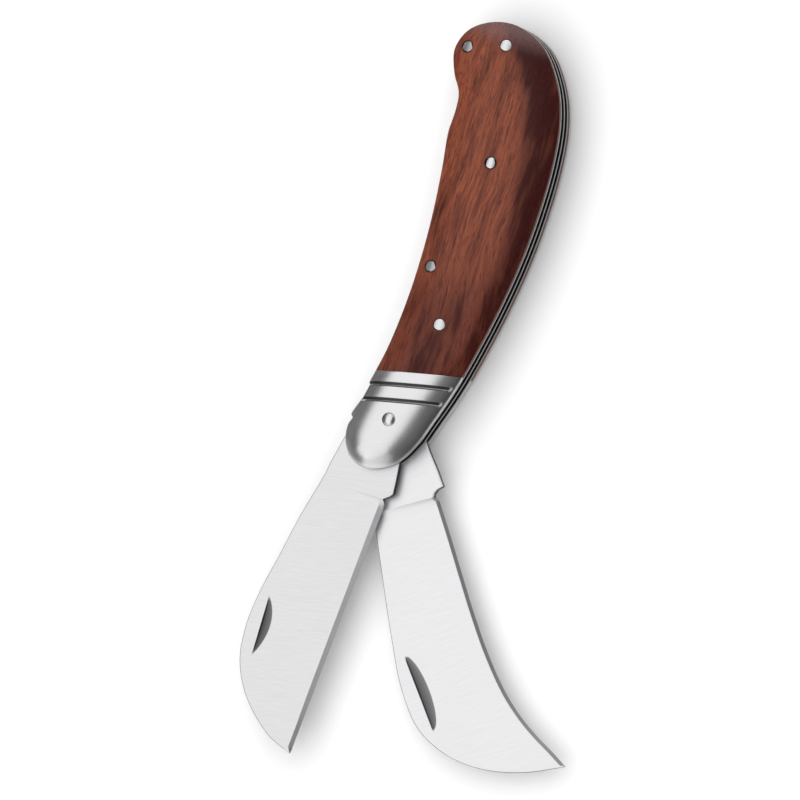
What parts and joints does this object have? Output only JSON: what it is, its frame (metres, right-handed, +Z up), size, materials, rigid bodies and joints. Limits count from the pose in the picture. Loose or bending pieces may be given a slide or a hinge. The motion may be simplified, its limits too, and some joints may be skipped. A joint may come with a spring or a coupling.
{
  "type": "folding pruning knife",
  "caption": "Folding pruning and grafting knife: a straight-edged blade and a hawkbill blade turn side by side on one pivot in a curved wooden handle with steel bolsters.",
  "frame": {"origin": "on the pivot axis of the blades, at the face that the knife rests on (the back bolster's crown, flush with the pivot pin's end)", "axes": "+Z up through the knife's thickness, +Y from the pivot towards the butt, +X towards the side that the blades fold into"},
  "size_m": [0.0861, 0.1852, 0.0154],
  "materials": {
    "rosewood": "satin oiled rosewood, reddish brown with dark streaks",
    "bolster_steel": "polished stainless steel",
    "liner_steel": "satin steel sheet",
    "spring_steel": "satin hardened steel",
    "blade_steel": "fine-ground stainless steel",
    "pin_steel": "peened and polished steel"
  },
  "bodies": {
    "handle": {"front_scale": "rosewood", "back_scale": "rosewood", "front_bolster": "bolster_steel", "back_bolster": "bolster_steel", "front_liner": "liner_steel", "centre_liner": "liner_steel", "back_liner": "liner_steel", "front_spring": "spring_steel", "back_spring": "spring_steel", "pivot_pin": "pin_steel", "spring_pin": "pin_steel", "butt_pin": "pin_steel", "front_scale_pin_1": "pin_steel", "front_scale_pin_2": "pin_steel", "front_scale_pin_3": "pin_steel", "back_scale_pin_1": "pin_steel", "back_scale_pin_2": "pin_steel", "back_scale_pin_3": "pin_steel"},
    "grafting_blade": {"grafting_blade": "blade_steel"},
    "hawkbill_blade": {"hawkbill_blade": "blade_steel"}
  },
  "joints": [
    {"name": "grafting_blade_pivot", "type": "hinge", "parent": "handle", "child": "grafting_blade", "pos_m": [0, 0, 0.0093], "axis": [0, 0, 1], "range_deg": [0, 173]},
    {"name": "hawkbill_blade_pivot", "type": "hinge", "parent": "handle", "child": "hawkbill_blade", "pos_m": [0, 0, 0.0061], "axis": [0, 0, 1], "range_deg": [-30, 135]}
  ]
}
